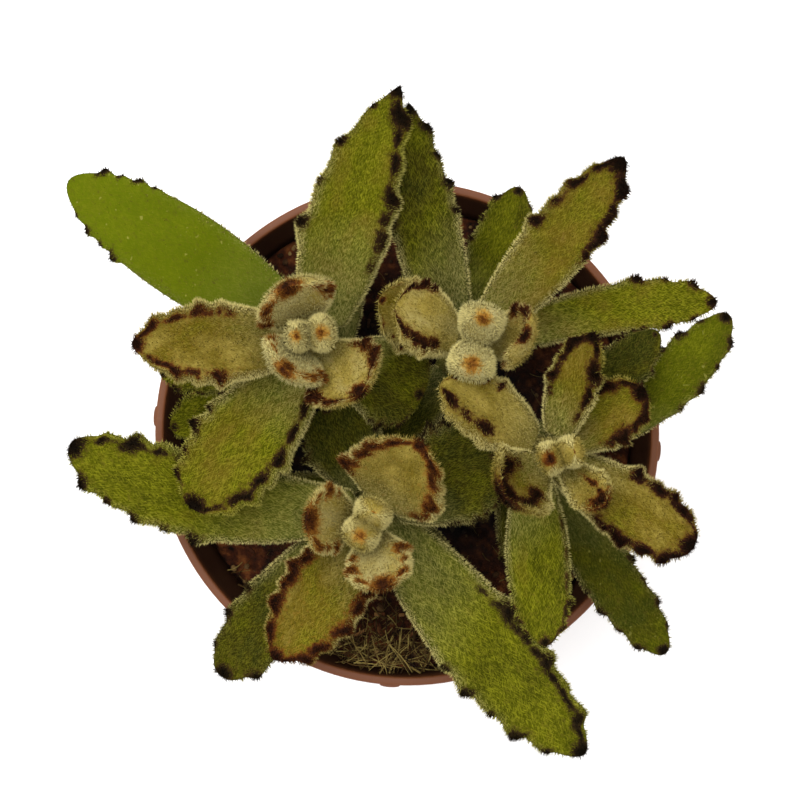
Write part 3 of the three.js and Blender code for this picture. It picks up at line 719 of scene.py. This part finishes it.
def marks(leaf, s, turn):
    """How strongly the skin is marked with brown, from 0 to 1: a blot at each tooth and at the tip, and a
    ragged band along each margin or a little inside it."""
    side = np.cos(turn)
    half = leaf.width / 2 * outline(leaf, s)
    spot, width, start, inset = np.array([leaf.right, leaf.left])[(side > 0).astype(int)].T
    from_edge = (1 - np.abs(side)) * half
    on_top = np.where(from_edge < inset, 1.6 * (inset - from_edge), from_edge - inset)
    off_edge = np.where(np.sin(turn) < 0, 1.6 * inset + 1.2 * from_edge + 0.3, on_top)
    turns = tooth_turn(leaf, s)
    pitch = (TOOTH_END - leaf.first) / max(1, leaf.teeth)
    brown = np.zeros_like(s)
    for count in range(leaf.teeth):
        along = (turns - count - TOOTH_PEAK) * pitch * leaf.length
        size = spot * np.clip(tooth_size(leaf, count, side), 0.6, 1.2)
        brown = np.maximum(brown, np.exp(-((along / (1.35 * size)) ** 2) - (off_edge / size) ** 2))
    to_tip = (1 - s) * leaf.length
    under = np.where(np.sin(turn) < 0, 0.7, 0)
    back = max(0.9, min(leaf.left[3], leaf.right[3])) if leaf.teeth else 0
    near_tip = ((to_tip + under - back) / (1.3 * leaf.tip)) ** 2 + (half * side / (1.7 * leaf.tip)) ** 2
    brown = np.maximum(brown, 1.1 * np.exp(-near_tip))
    started = np.clip((s - start) / 0.12, 0, 1)
    blotchy = 0.68 + 0.32 * np.sin(1.1 * s * leaf.length + leaf.bearing + 2 * side)
    band = started * blotchy * np.exp(-((off_edge / np.maximum(width, 0.01)) ** 2))
    rim = 0.2 * (1 - leaf.plump) * leaf.wool * np.clip((s - 0.4) / 0.5, 0, 1)
    brown = np.maximum(brown, rim * np.exp(-((off_edge / 0.4) ** 2)))
    return np.clip(np.maximum(brown, np.where(width > 0, band, 0)), 0, 1)


def ball(around, rings):
    """A sphere, with its points' share of the way up and their turn."""
    bm = bmesh.new()
    bmesh.ops.create_uvsphere(bm, u_segments=around, v_segments=rings, radius=1)
    spot = np.array([v.co for v in bm.verts])
    share = np.arccos(np.clip(-spot[:, 2], -1, 1)) / math.pi
    return bm, share, np.arctan2(spot[:, 1], spot[:, 0])


def grow_leaf(leaf, base):
    """One leaf, from a sphere whose poles become its base and tip, and what its skin carries."""
    bm, share, turn = ball(LEAF_SIDES, max(LEAF_RINGS, round(leaf.length / RING_PITCH)))
    # Rings lie closer together towards both ends.
    s = 0.3 * share + 0.7 * (1 - np.cos(math.pi * share)) / 2
    place = leaf_surface(leaf, base, s, turn)
    ahead, out, across = leaf_axes(leaf, s)
    swell = np.sin(place @ (0.3, 0.26, 0.2) + leaf.bearing) * np.sin(place @ (-0.25, 0.3, 0.2))
    place = place + out * (0.25 * swell * np.clip(s * 8, 0, 1) * (1 - s**4))[:, None]
    for v, spot in zip(bm.verts, place, strict=True):
        v.co = spot
    side = np.cos(turn)
    above = np.sin(turn) > 0
    flat = np.stack([leaf.width / 2 * outline(leaf, s) * side, s * leaf.length, 9 * above], 1)
    bent = math.radians(leaf.cup) * np.abs(side)[:, None]
    grown_up = (1 - leaf.plump) * np.clip((s - 0.4) / 0.5, 0, 0.8)
    near_base = np.clip(1 - s / 0.5 + 0.25 * side * np.sin(leaf.bearing), 0, 1)
    same = np.ones_like(s)
    return bm, {
        "outward": across * np.sign(side)[:, None] * np.cos(bent) + out * np.sin(bent),
        # Each leaf has a part of the pattern to itself, and so has each of its faces.
        "flat": flat + 100 * math.radians(leaf.bearing),
        "ahead": ahead,
        "mark": marks(leaf, s, turn),
        "edge": np.clip((np.abs(side) - 0.75) / 0.25, 0, 1) ** 3,
        "pale": np.clip(np.abs(side) * 5 - 4, 0, 1) * (1 - grown_up),
        "sage": near_base * (1 - 0.8 * leaf.tone * leaf.plump),
        "ripe": leaf.ripe * same,
        "tone": leaf.tone * same,
        "wool": leaf.wool * same,
    }


def carry(piece, skins):
    """Writes what the skin of each part carries, in the order that the parts were added."""
    for name in skins[0]:
        set_on_points(piece.data, name, np.concatenate([skin[name] for skin in skins]))


def stem_point(shoot, up):
    """The stem's axis at a height above the peat."""
    foot, top = np.array(shoot["foot"], float), np.array(shoot["top"], float)
    share = np.asarray(up / shoot["height"])[..., None]
    level = foot + (top - foot) * share
    return np.concatenate([level, np.asarray(SOIL_LEVEL + up)[..., None]], -1)


def stem_radius(shoot, up):
    return STEM_FOOT_RADIUS + (STEM_TOP_RADIUS - STEM_FOOT_RADIUS) * np.maximum(0, up) / shoot["height"]


def leaf_base(shoot, leaf):
    tip_back = LEAF_UPPER * leaf.thickness * math.sin(math.radians(leaf.rise[0]))
    reach = stem_radius(shoot, leaf.height) + GAP + tip_back
    bearing = math.radians(leaf.bearing)
    return stem_point(shoot, leaf.height) + reach * np.array([math.cos(bearing), math.sin(bearing), 0])


def leaf_green(tree, ripe, sage, wool=1.0):
    """The skin's green, from khaki on a young leaf to deep olive on an old one, greyer towards the base,
    and fresher where the hair has worn off."""
    ramp = [
        (0.0, "#A09666"),
        (0.25, "#867532"),
        (0.45, "#56480C"),
        (0.65, "#424402"),
        (0.8, "#323402"),
        (0.92, "#2C2803"),
        (1.0, "#202203"),
    ]
    green = mix(tree, remap(tree, wool, 0.55, 0.2, 0.0, 0.65), ramped(tree, ripe, ramp), "#5A6806")
    return mix(tree, compute(tree, "MULTIPLY", sage, 0.5), green, "#565C2A")


def strand_colour(tree, ripe, pale, sage):
    """The colour of a hair's outer part: cream on young leaves and edges, and straw-green over old skin."""
    ramp = [
        (0.0, "#C2B87E"),
        (0.25, "#A8964B"),
        (0.45, "#82722A"),
        (0.65, "#8E8C1E"),
        (0.85, "#747218"),
        (1.0, "#5E5C1E"),
    ]
    hazy = compute(tree, "MAXIMUM", pale, compute(tree, "MULTIPLY", sage, 0.7))
    return mix(tree, compute(tree, "MULTIPLY", hazy, 0.9), ramped(tree, ripe, ramp), "#D0C27E")


def fur_strokes(tree, flat):
    """Hairs too fine to be modelled one by one, as strokes in two directions, drawn 0.14 mm wide to show."""
    layers = []
    for lean in (0.5, -0.35):
        settings = {"Vector": flat, "Rotation": (0, 0, lean), "Scale": (0.14, 1.0, 1)}
        lie = add(tree, "Mapping", settings, vector_type="TEXTURE").outputs["Vector"]
        layers.append(speckle(tree, lie, 1.0, 2.0, Roughness=0.5, Distortion=0.4))
    return compute(tree, "MAXIMUM", *layers)


def blot_colour(tree, mark, tone, ripe):
    """The colour inside a mark: golden to rust at its rim and near black in its middle on a young leaf, and
    dark olive on an old one."""
    deep = compute(tree, "MULTIPLY_ADD", mark, 0.75, remap(tree, tone, 0.0, 1.0, -0.35, 0.35))
    ramp = [(0.0, "#A07C36"), (0.2, "#875A20"), (0.45, "#583010"), (0.7, "#2C150C"), (1.0, "#100804")]
    rust = ramped(tree, deep, ramp)
    olive = ramped(tree, deep, [(0.2, "#54491A"), (0.6, "#2C2410"), (1.0, "#100C06")])
    return mix(tree, remap(tree, ripe, 0.45, 0.7, 0.0, 0.8), rust, olive)


def felted_skin():
    """The waxy green skin under its felt, khaki when young and deep olive when old, with rust to near-black
    marks. Short hairs that lie along the leaf give it fine pale streaks."""
    sheen = {"Sheen_Weight": 0.03, "Sheen_Roughness": 0.5, "Sheen_Tint": "#B8AC40"}
    made, tree, into = material("felted_leaf_skin", Roughness=0.8, Specular_IOR_Level=0.03, **sheen)
    ripe, mark, tone, sage, pale, wool = attributes(tree, "ripe mark tone sage pale wool")
    flat = add(tree, "Attribute", attribute_name="flat").outputs["Vector"]
    strokes = fur_strokes(tree, flat)
    # Blotches of 5 mm by 8 mm where the skin is riper or paler.
    blotch = add(tree, "Mapping", {"Vector": flat, "Scale": (1 / 5, 1 / 8, 1)}).outputs["Vector"]
    shift = remap(tree, speckle(tree, blotch, 1.0, 2.0), 0.3, 0.7, -0.11, 0.11)
    ripeness = compute(tree, "ADD", ripe, shift)
    furred = compute(tree, "MULTIPLY", remap(tree, strokes, 0.5, 0.66, 0.0, 0.8), wool)
    strand = strand_colour(tree, ripeness, pale, sage)
    skin = mix(tree, furred, leaf_green(tree, ripeness, sage, wool), strand)
    # Pale flecks of 0.5 mm, where the felt has worn off.
    fleck = remap(tree, speckle(tree, flat, 0.8, 1.0), 0.7, 0.76, 0.0, 0.35)
    flecks = compute(tree, "MULTIPLY", fleck, remap(tree, wool, 0.6, 0.4, 0.0, 1.0))
    skin = mix(tree, flecks, skin, "#A8A050")
    # The marks break up hair by hair, and in patches of 1 mm.
    rough = remap(tree, strokes, 0.4, 0.7, -0.16, 0.16)
    uneven = remap(tree, speckle(tree, flat, 1.0, 2.0), 0.3, 0.7, -0.15, 0.15)
    ragged = compute(tree, "ADD", mark, compute(tree, "ADD", rough, uneven))
    marked = remap(tree, ragged, 0.1, 0.42, 0.0, 1.0)
    tree.links.new(mix(tree, marked, skin, blot_colour(tree, ragged, tone, ripe)), into["Base Color"])
    emboss(tree, into, strokes, 0.9, 0.2)
    return made


leaf_skin = felted_skin()
rows = zip(LEAVES, LOOKS, strict=True)
grown = {}
for place, shoot in SHOOTS.items():
    grown[place] = []
    for number in range(1, shoot["leaves"] + 1):
        leaf = Leaf(*next(rows))
        bm, skin = grow_leaf(leaf, leaf_base(shoot, leaf))
        piece = to_object(f"felted_leaf_{place}_{number:02d}", bm)
        carry(piece, [skin])
        piece.data.materials.append(leaf_skin)
        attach(piece, "root")
        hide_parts(f"leaf_{place}_{number:02d}")
        grown[place].append(piece)

# ------------------------------ the stems and their buds
# Short fleshy stems, a little thicker at the foot, rooted two centimetres deep. Each ends in a growing tip
# with a pair of bud leaves still closed over it, and the stem and its bud are one piece.
STEM_BURIED, STEM_TAPER, STEM_SIDES, STEM_RINGS = 21.5, 3.5, 20, 60
# Each bud leaf gives the first five numbers of its form and then its looks. The rest of its form is
# BUD_FORM: it is cupped, and has no teeth.
BUD_FORM, BUD_OFFSET = (0, 0, 12, 0.6, 0.45, 0, 0.7), 0.8
BUDS = {
    "nw": [
        ((51, 8, 10.5, 7, (60, 88)), (0.1, 1, 0, 1, (0.01, 0, 1, 0.4))),
        ((51, 188, 10.5, 5.8, (62, 88)), (0.08, 1, 0, 0.9, (0.9, 0, 1, 0.3))),
    ],
    "ne": [
        ((47, 75, 12.5, 8.6, (42, 90)), (0.06, 1, 0, 1.1, (0.6, 0, 1, 0.5))),
        ((47, 258, 12, 8.8, (44, 90)), (0.06, 1, 0, 1.2, (0.7, 0, 1, 0.5))),
    ],
    "e": [
        ((49, 15, 9, 6.2, (58, 86)), (0.28, 1, 0.45, 0.01, (0.9, 0, 1, 0.3), (1, 0, 1, 0.3))),
        ((49, 200, 9, 6.4, (62, 84)), (0.28, 1, 0.5, 1.1, (0.01, 0, 1, 0.3))),
    ],
    "s": [
        ((45, 65, 10.5, 7.2, (62, 86)), (0.2, 1, 0, 0.01, (0.01, 0, 1, 0.4))),
        ((45, 235, 10.5, 7.2, (62, 86)), (0.2, 1, 0, 1, (0.7, 0, 1, 0.4))),
    ],
}


def grow_stem(shoot):
    """A stem, from a sphere whose poles become the root and the growing tip, and what its skin carries."""
    bm, share, turn = ball(STEM_SIDES, STEM_RINGS)
    up = -STEM_BURIED + (shoot["height"] + STEM_BURIED) * share
    end = np.clip(np.minimum(up + STEM_BURIED, shoot["height"] - up) / STEM_TAPER, 0, 1)
    radius = stem_radius(shoot, up) * np.sqrt(end) * (1 + 0.06 * np.sin(up * 0.9))
    round_axis = np.stack([np.cos(turn) * radius, np.sin(turn) * radius, 0 * up], 1)
    for v, spot in zip(bm.verts, stem_point(shoot, up) + round_axis, strict=True):
        v.co = spot
    same, none = np.ones_like(up), np.zeros_like(up)
    return bm, {
        "outward": np.stack([none, none, none], 1),
        "flat": np.stack([radius * turn, up, none], 1),
        "ahead": np.stack([none, none, same], 1),
        "mark": none,
        "edge": none,
        "pale": 0.5 * same,
        "sage": 0.5 * same,
        "ripe": 0.75 - 0.5 * np.maximum(0, up) / shoot["height"],
        "tone": none,
        "wool": 0.8 * same,
    }


def joined(parts):
    """One bmesh of several, which keeps the order of their points."""
    whole = bmesh.new()
    for part in parts:
        held = bpy.data.meshes.new("part")
        part.to_mesh(held)
        part.free()
        whole.from_mesh(held)
        bpy.data.meshes.remove(held)
    return whole


for place, shoot in SHOOTS.items():
    parts = [grow_stem(shoot)]
    for form, looks in BUDS[place]:
        leaf = Leaf((*form, *BUD_FORM), looks)
        bearing = math.radians(leaf.bearing)
        aside = BUD_OFFSET * np.array([math.cos(bearing), math.sin(bearing), 0])
        parts.append(grow_leaf(leaf, stem_point(shoot, leaf.height) + aside))
    piece = to_object(f"stalk_and_bud_{place}", joined([bm for bm, skin in parts]))
    carry(piece, [skin for bm, skin in parts])
    piece.data.materials.append(leaf_skin)
    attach(piece, "root")
    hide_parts(f"stem_{place}")
    grown[place].append(piece)

# ------------------------------ the felt
# Every leaf and stem wears a felt of short stiff hairs, pale on the young parts and brown on the marks.
# They lean towards the tip on a leaf's face, and a dense fringe of them stands straight out along its edge.
HAIR_LENGTH, HAIR_RADIUS = 1.3, 0.072
# A hair's middle stands this share of its length over the skin, and its foot is sunk into it.
HAIR_MIDDLE = 0.42
# How many hairs there are to a square millimetre of a leaf's face, and how many more on a young pad, along
# an edge and on a mark.
FACE_HAIRS, PAD_HAIRS, FRINGE_HAIRS, TUFT_HAIRS = 1.0, 4.8, 18.0, 11.0
UNDERSIDE_SHARE, MOST_HAIRS = 0.12, 47500
SKIN_NUMBERS = ("mark", "ripe", "tone", "wool", "edge", "pale", "sage")


def skin_of(piece):
    """The skin's triangles and what they carry, and how many hairs each wants beside the others."""
    mesh = piece.data
    mesh.calc_loop_triangles()
    corners = np.empty(len(mesh.loop_triangles) * 3, np.int32)
    mesh.loop_triangles.foreach_get("vertices", corners)
    corners = corners.reshape(-1, 3)
    read = {}
    for name, source, key, width in (
        ("place", mesh.vertices, "co", 3),
        ("normal", mesh.vertex_normals, "vector", 3),
        ("ahead", mesh.attributes["ahead"].data, "vector", 3),
        ("outward", mesh.attributes["outward"].data, "vector", 3),
        *((name, mesh.attributes[name].data, "value", 1) for name in SKIN_NUMBERS),
    ):
        numbers = np.empty(len(mesh.vertices) * width, np.float32)
        source.foreach_get(key, numbers)
        read[name] = numbers.reshape(-1, width)
    read["place"] = read["place"] / MM
    a, b, c = (read["place"][corners[:, k]] for k in range(3))
    area = np.linalg.norm(np.cross(b - a, c - a), axis=1) / 2
    middle = {name: numbers[corners].mean(1)[:, 0] for name, numbers in read.items() if name != "normal"}
    height = read["place"][corners].mean(1)[:, 2]
    facing = read["normal"][corners].mean(1)[:, 2]
    shown = np.where(facing > -0.2, 1, UNDERSIDE_SHARE)
    young = np.clip(1 - middle["ripe"] / 0.55, 0, 1)
    shown = np.maximum(shown, 0.7 * young)
    above = height > SOIL_LEVEL - 0.5
    on_face = (FACE_HAIRS + PAD_HAIRS * young) * shown * middle["wool"] ** 1.5
    on_edge = middle["edge"] * FRINGE_HAIRS * middle["wool"] + TUFT_HAIRS * middle["mark"] * (1 - young)
    wanted = area * above * (on_face + on_edge)
    return {name: numbers[corners] for name, numbers in read.items()}, wanted


def felt(name, pieces):
    """All the hairs of one shoot, as a single piece."""
    skins, wanted = zip(*(skin_of(piece) for piece in pieces), strict=True)
    wanted = np.concatenate(wanted)
    count = min(MOST_HAIRS, int(wanted.sum()))
    chosen = draw.choice(len(wanted), count, p=wanted / wanted.sum())
    # Each root is a drawn point of its triangle.
    one, two = draw.random((2, count, 1))
    one, two = np.where(one + two > 1, (1 - one, 1 - two), (one, two))
    share = np.stack([1 - one - two, one, two], 1)
    corners = {key: np.concatenate([skin[key] for skin in skins])[chosen] for key in skins[0]}
    root = {key: (values * share).sum(1) for key, values in corners.items()}
    place, mark, ripe, edge = (root[key] for key in ("place", "mark", "ripe", "edge"))
    normal, ahead = unit(root["normal"]), unit(root["ahead"])
    # They part to one side and the other in waves of a few millimetres.
    flow = sum(np.sin(place @ wave)[:, None] for wave in ((0.5, 0.8, -0.6), (-0.7, 0.6, 0.5)))
    sideways = np.cross(normal, ahead) * (0.2 * flow)
    tuft = mark * np.clip(2 * ripe - 0.6, 0, 1)
    young = np.clip(1 - ripe / 0.5, 0, 1)
    stray = draw.normal(0, 1, (count, 3)) * (0.24 + 0.16 * tuft + 0.12 * young)
    pressed = ripe * (1 - edge)
    stands = normal * (0.95 - 0.4 * pressed) * (1 - 0.7 * edge) + root["outward"] * (1.1 * edge)
    way = unit(stands + ahead * (0.3 + 0.5 * pressed) + sideways + stray)
    # Hairs round a closed tip splay out, where they'd all stand straight up.
    upright = np.clip(4 * way[:, 2:] - 3, 0, 1) * young
    way = unit(way + upright * unit(draw.normal(0, 1, (count, 3)) * (1, 1, 0.01)) * 0.8)
    long = HAIR_LENGTH * (0.6 + 0.4 * root["wool"]) * (0.7 + 0.5 * draw.random((count, 1)))
    long = long * (1 - 0.35 * pressed) * (1 + 0.2 * tuft - 0.2 * edge * (1 - young))
    aside, third = square_axes(way)
    wide = HAIR_RADIUS * (0.75 + 0.5 * draw.random((count, 1))) * (1 + 0.5 * edge)
    axes = np.stack([aside * wide, third * wide, way * long], 1)
    bm = bmesh.new()
    rooted = Matrix.Translation((0, 0, HAIR_MIDDLE))
    bmesh.ops.create_cone(bm, segments=3, radius1=1, radius2=0, depth=1, cap_ends=True, matrix=rooted)
    values = {key: root[key][:, 0] for key in ("mark", "ripe", "tone", "pale", "sage")}
    values["pick"] = draw.random(count)
    return copies(name, bm, place, axes, values)


def felt_hair():
    """Stiff dull hairs: their roots take the skin's colour, and their tips are cream on young parts and
    along edges, straw-green over old skin, and brown where they grow from a mark."""
    made, tree, into = material("leaf_felt_hair", Roughness=0.8, Specular_IOR_Level=0.03)
    ripe, mark, tone, pale, sage, pick, reach = attributes(tree, "ripe mark tone pale sage pick reach")
    tip = strand_colour(tree, ripe, pale, sage)
    varied = scaled(tree, tip, remap(tree, pick, 0.0, 1.0, 0.8, 1.2))
    strand = mix(tree, remap(tree, reach, 0.05, 0.6, 0.0, 1.0), leaf_green(tree, ripe, sage), varied)
    ragged = compute(tree, "ADD", mark, remap(tree, pick, 0.0, 1.0, -0.34, 0.14))
    marked = remap(tree, ragged, 0.15, 0.4, 0.0, 1.0)
    tree.links.new(mix(tree, marked, strand, blot_colour(tree, ragged, tone, ripe)), into["Base Color"])
    return made


hair = felt_hair()
for place, pieces in grown.items():
    piece = felt(f"felt_{place}", pieces)
    piece.data.materials.append(hair)
    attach(piece, "root")

# ------------------------------ the studio
# A white backdrop under a soft lamp and an even white sky, with a camera half a metre above the rim that
# looks straight down.
CAMERA_HEIGHT, CAMERA_X, CAMERA_Y = 520, -1.5, 7.0
MM_PER_PIXEL_AT_RIM = 0.2081
IMAGE_SIDE, SENSOR = 800, 36
BACKDROP_REACH = 3000

bm = bmesh.new()
bmesh.ops.create_grid(bm, x_segments=1, y_segments=1, size=BACKDROP_REACH)
floor = to_object("floor", bm)
# It is lit a little from behind, so that shadows almost fade on it.
backdrop = material("lit_white_backdrop", Roughness=0.9, Base_Color="#FFFFFF", Emission_Strength=0.1)[0]
floor.data.materials.append(backdrop)

lamp = in_scene("key_light", bpy.data.lights.new("key_light", "AREA"))
lamp.data.shape = "DISK"
lamp.data.size = 1.0
lamp.data.energy = 12
lamp.location = (-0.22, 0.27, 1.1)
towards_plant = Vector((0, 0, POT_HEIGHT * MM)) - lamp.location
lamp.rotation_euler = towards_plant.to_track_quat("-Z", "Y").to_euler()
world = bpy.data.worlds.new("pale_room")
world.use_nodes = True
sky = world.node_tree.nodes["Background"].inputs
sky["Color"].default_value = (1, 1, 1, 1)
sky["Strength"].default_value = 0.95
bpy.context.scene.world = world
bpy.context.scene.view_settings.view_transform = "Standard"

camera = in_scene("camera", bpy.data.cameras.new("camera"))
camera.data.sensor_width = SENSOR
camera.data.lens = SENSOR * CAMERA_HEIGHT / (MM_PER_PIXEL_AT_RIM * IMAGE_SIDE)
camera.data.clip_start = 0.05
camera.location = (CAMERA_X * MM, CAMERA_Y * MM, (POT_HEIGHT + CAMERA_HEIGHT) * MM)
bpy.context.scene.camera = camera
